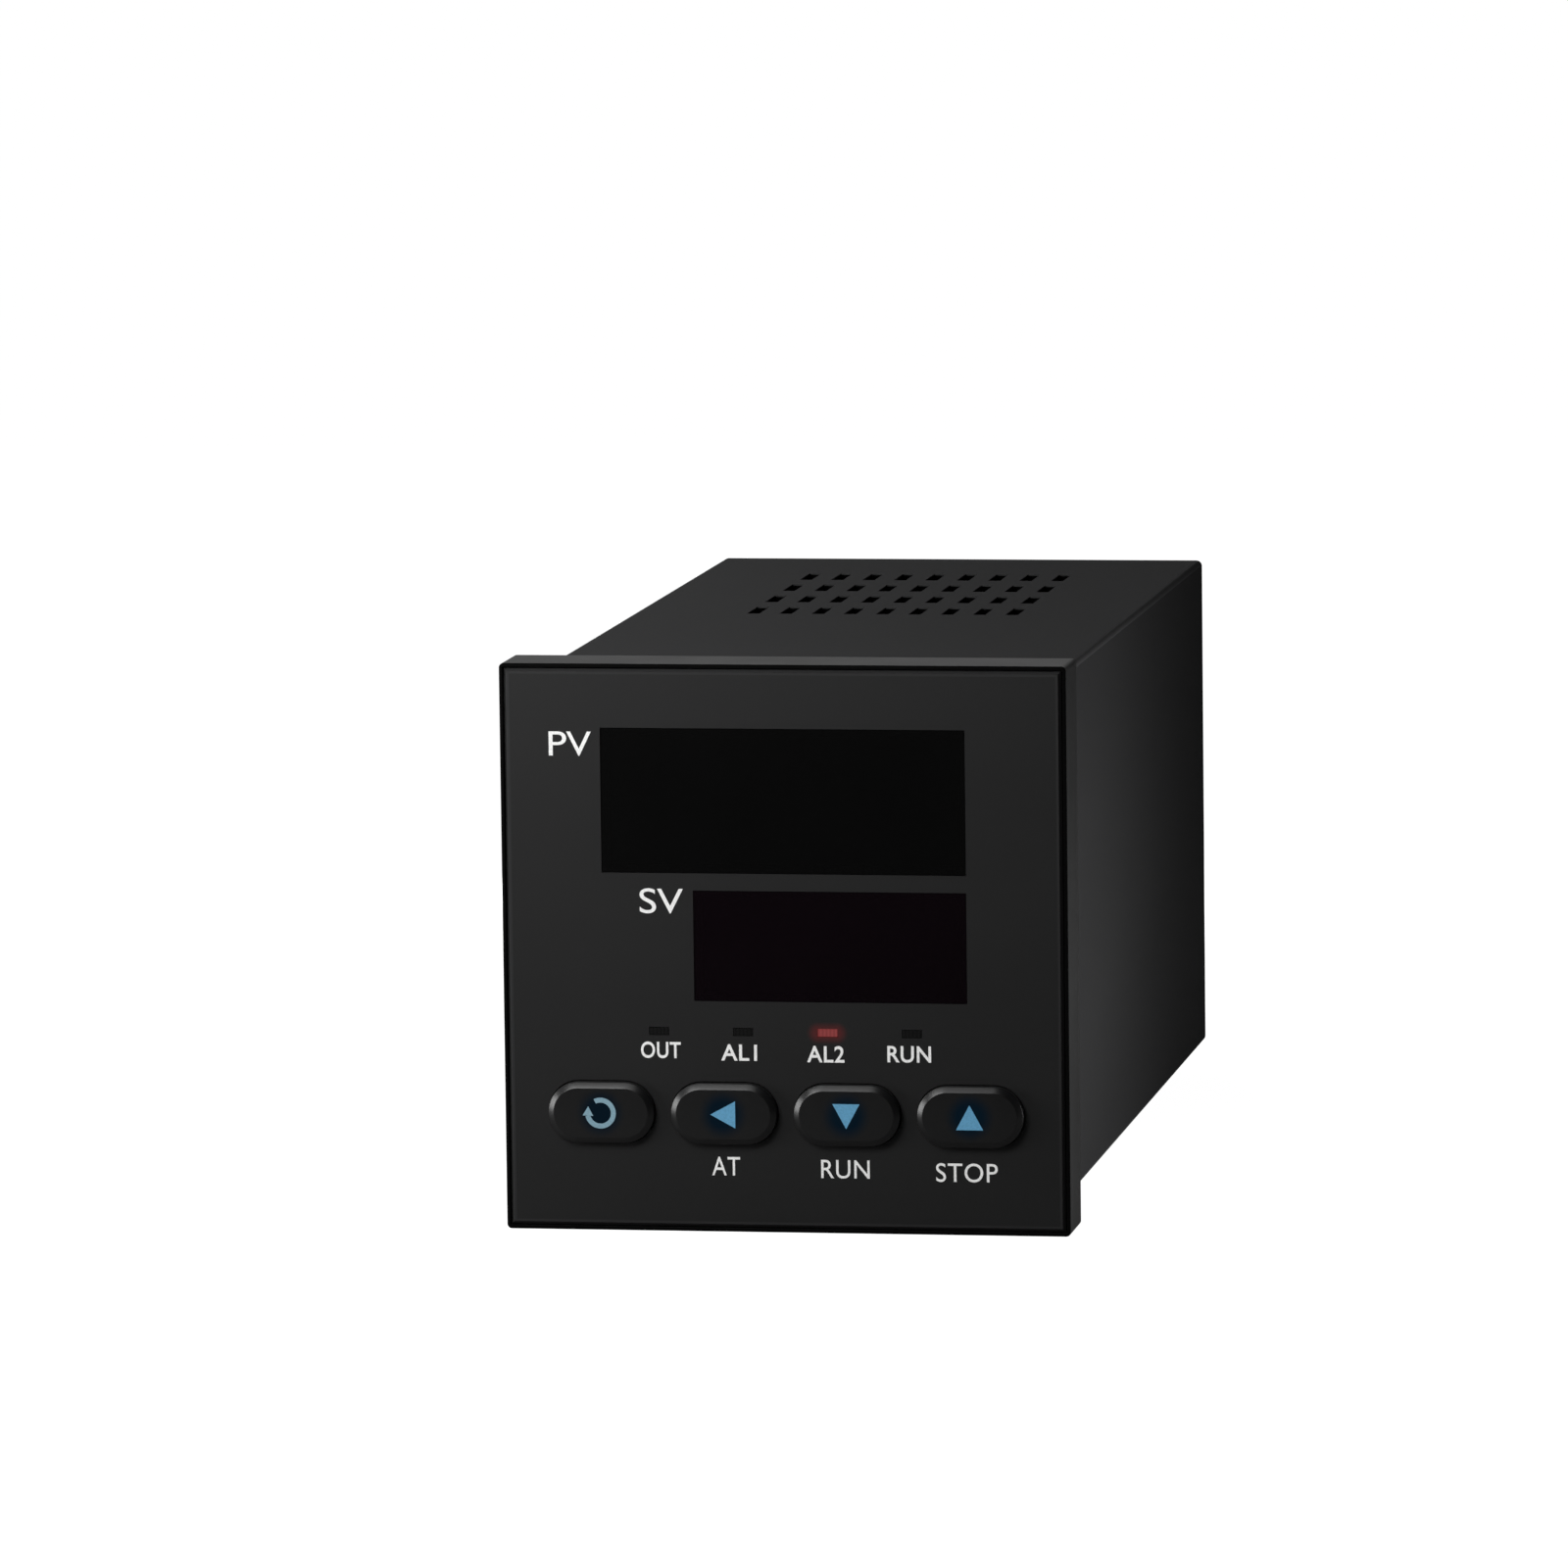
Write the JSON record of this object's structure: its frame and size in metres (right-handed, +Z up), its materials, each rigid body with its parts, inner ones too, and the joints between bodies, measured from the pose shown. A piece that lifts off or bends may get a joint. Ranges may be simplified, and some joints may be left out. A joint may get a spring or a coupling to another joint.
{
  "type": "panel temperature controller",
  "caption": "Square panel-mounted temperature controller with a deep box casing, two display windows, raised keys, indicator lenses, vent slots and rear screw terminals.",
  "frame": {"origin": "centre of the bezel's rear face, where it seats on the panel", "axes": "+Z up, front face looks along -Y, casing runs back along +Y, +X to the right seen from the front"},
  "size_m": [0.048, 0.1024, 0.048],
  "materials": {
    "casing": "finely textured moulding",
    "bezel": "finely textured moulding",
    "face": "satin",
    "window": "smoked, satin",
    "display": "cast face",
    "lamp": "moulded",
    "lens": "tinted",
    "board": "varnished laminate",
    "header": "moulded",
    "ferrite": "ground",
    "winding": "taped",
    "relay": "moulded",
    "capacitor": "shrink sleeve",
    "chip": "moulded",
    "switch": "moulded",
    "plunger": "moulded",
    "key": "satin",
    "rear": "moulded",
    "terminal_moulding": "moulded",
    "plated_steel": "plated",
    "screw_steel": "plated"
  },
  "bodies": {
    "housing": {"casing_shell": "casing", "front_bezel": "bezel", "face_plate": "face", "upper_window": "window", "lower_window": "window", "upper_display": "display", "lower_display": "display", "indicator_chips": "lamp", "display_board": "board", "power_board": "board", "main_board": "board", "board_header_left": "header", "board_header_right": "header", "transformer_core": "ferrite", "transformer_coil": "winding", "power_relay": "relay", "alarm_relay": "relay", "input_capacitor": "capacitor", "output_capacitor": "capacitor", "processor_chip": "chip", "rear_cover": "rear", "terminal_block_left": "terminal_moulding", "terminal_block_right": "terminal_moulding", "terminal_plates": "plated_steel", "terminal_screws": "screw_steel", "key_switch_1": "switch", "indicator_lens_1": "lens", "key_switch_2": "switch", "indicator_lens_2": "lens", "key_switch_3": "switch", "indicator_lens_3": "lens", "key_switch_4": "switch", "indicator_lens_4": "lens"},
    "key_1": {"key_cap_1": "key", "switch_plunger_1": "plunger"},
    "key_2": {"key_cap_2": "key", "switch_plunger_2": "plunger"},
    "key_3": {"key_cap_3": "key", "switch_plunger_3": "plunger"},
    "key_4": {"key_cap_4": "key", "switch_plunger_4": "plunger"}
  },
  "joints": [
    {"name": "press_1", "type": "slide", "parent": "housing", "child": "key_1", "axis": [0, 1, 0], "range_m": [0, 0.0005], "stiffness_N_per_m": 200, "springref_m": -0.0003},
    {"name": "press_2", "type": "slide", "parent": "housing", "child": "key_2", "axis": [0, 1, 0], "range_m": [0, 0.0005], "stiffness_N_per_m": 200, "springref_m": -0.0003},
    {"name": "press_3", "type": "slide", "parent": "housing", "child": "key_3", "axis": [0, 1, 0], "range_m": [0, 0.0005], "stiffness_N_per_m": 200, "springref_m": -0.0003},
    {"name": "press_4", "type": "slide", "parent": "housing", "child": "key_4", "axis": [0, 1, 0], "range_m": [0, 0.0005], "stiffness_N_per_m": 200, "springref_m": -0.0003}
  ]
}
